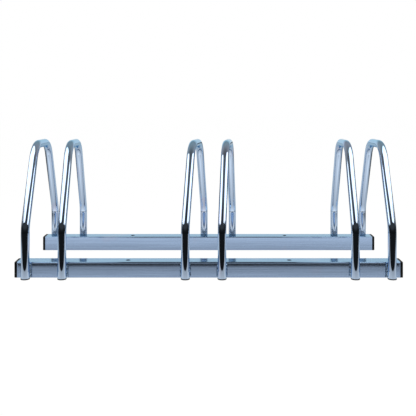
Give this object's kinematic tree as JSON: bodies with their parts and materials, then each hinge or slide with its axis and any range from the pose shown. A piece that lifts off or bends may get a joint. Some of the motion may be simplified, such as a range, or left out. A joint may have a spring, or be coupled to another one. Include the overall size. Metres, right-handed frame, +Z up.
{
  "type": "floor bike rack",
  "caption": "Floor-standing bicycle rack of zinc-plated steel: bent tube hoops in pairs, welded across two capped square rails with floor screw holes.",
  "frame": {"origin": "on the floor, under the middle of the rack", "axes": "+X along the rails, +Y from the front rail to the rear rail, +Z up"},
  "size_m": [0.73, 0.2796, 0.252],
  "materials": {
    "zinc_tube": "bright blue-passivated zinc plating on round steel tube",
    "zinc_rail": "blue-passivated zinc plating with fine drawn lines on square steel tube",
    "weld_zinc": "rippled weld metal under zinc plating",
    "black_plastic": "moulded black plastic",
    "grey_plastic": "moulded dark grey plastic"
  },
  "bodies": {
    "root": {"front_rail": "zinc_rail", "front_rail_cap_left": "black_plastic", "front_rail_cap_right": "black_plastic", "rear_rail": "zinc_rail", "rear_rail_cap_left": "black_plastic", "rear_rail_cap_right": "black_plastic", "hoop_1": "zinc_tube", "front_foot_plug_1": "grey_plastic", "front_weld_1_left": "weld_zinc", "front_weld_1_right": "weld_zinc", "rear_foot_plug_1": "grey_plastic", "rear_weld_1_left": "weld_zinc", "rear_weld_1_right": "weld_zinc", "hoop_2": "zinc_tube", "front_foot_plug_2": "grey_plastic", "front_weld_2_left": "weld_zinc", "front_weld_2_right": "weld_zinc", "rear_foot_plug_2": "grey_plastic", "rear_weld_2_left": "weld_zinc", "rear_weld_2_right": "weld_zinc", "hoop_3": "zinc_tube", "front_foot_plug_3": "grey_plastic", "front_weld_3_left": "weld_zinc", "front_weld_3_right": "weld_zinc", "rear_foot_plug_3": "grey_plastic", "rear_weld_3_left": "weld_zinc", "rear_weld_3_right": "weld_zinc", "hoop_4": "zinc_tube", "front_foot_plug_4": "grey_plastic", "front_weld_4_left": "weld_zinc", "front_weld_4_right": "weld_zinc", "rear_foot_plug_4": "grey_plastic", "rear_weld_4_left": "weld_zinc", "rear_weld_4_right": "weld_zinc", "hoop_5": "zinc_tube", "front_foot_plug_5": "grey_plastic", "front_weld_5_left": "weld_zinc", "front_weld_5_right": "weld_zinc", "rear_foot_plug_5": "grey_plastic", "rear_weld_5_left": "weld_zinc", "rear_weld_5_right": "weld_zinc", "hoop_6": "zinc_tube", "front_foot_plug_6": "grey_plastic", "front_weld_6_left": "weld_zinc", "front_weld_6_right": "weld_zinc", "rear_foot_plug_6": "grey_plastic", "rear_weld_6_left": "weld_zinc", "rear_weld_6_right": "weld_zinc"}
  },
  "joints": []
}
